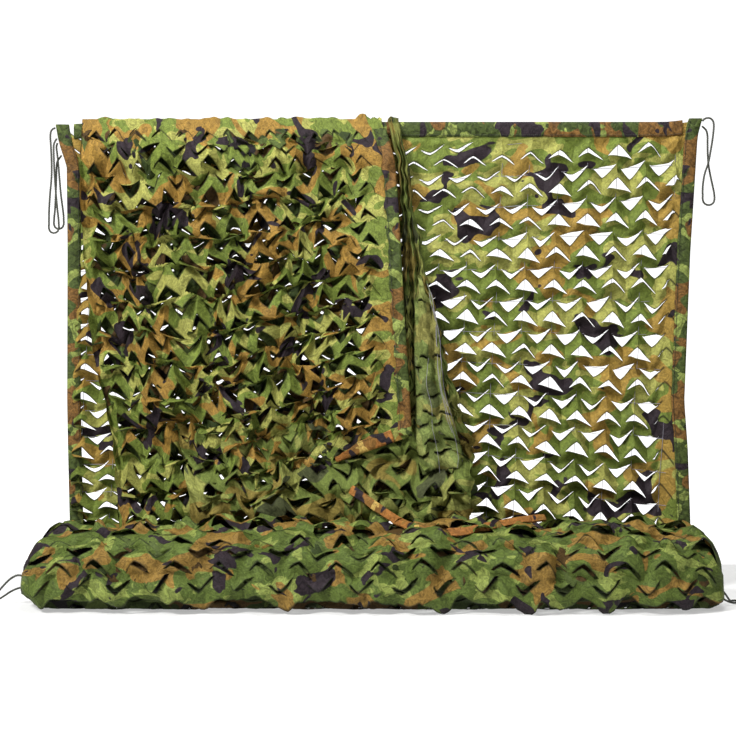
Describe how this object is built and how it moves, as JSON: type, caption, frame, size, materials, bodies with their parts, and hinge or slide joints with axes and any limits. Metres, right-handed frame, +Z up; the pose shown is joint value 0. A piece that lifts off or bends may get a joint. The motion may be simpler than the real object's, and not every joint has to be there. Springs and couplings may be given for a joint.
{
  "type": "camouflage net",
  "caption": "Slit camouflage net with bound edges and corner loops, hung by its top edge, thrown over in front at one side, the rest rolled at its foot.",
  "frame": {"origin": "middle of the net's top edge, in the plane of the hung cloth", "axes": "+X along the top edge to the viewer's right, +Z up, -Y towards the viewer"},
  "size_m": [1.6748, 0.3535, 1.1067],
  "materials": {
    "net_cloth": "matte woodland print",
    "net_back": "dull unprinted back",
    "binding": "matte woodland print",
    "cord": "dark braided cord"
  },
  "bodies": {
    "root": {"net_panel": "net_cloth", "net_flap": "net_cloth", "net_fall": "net_back", "net_roll": "net_cloth", "binding_left": "binding", "binding_right": "binding", "binding_top": "binding", "binding_flap_side": "binding", "binding_flap_hem": "binding", "binding_roll_edge": "binding", "loop_left": "cord", "loop_left_short": "cord", "loop_right": "cord", "loop_roll_right": "cord", "loop_roll_left": "cord"}
  },
  "joints": []
}
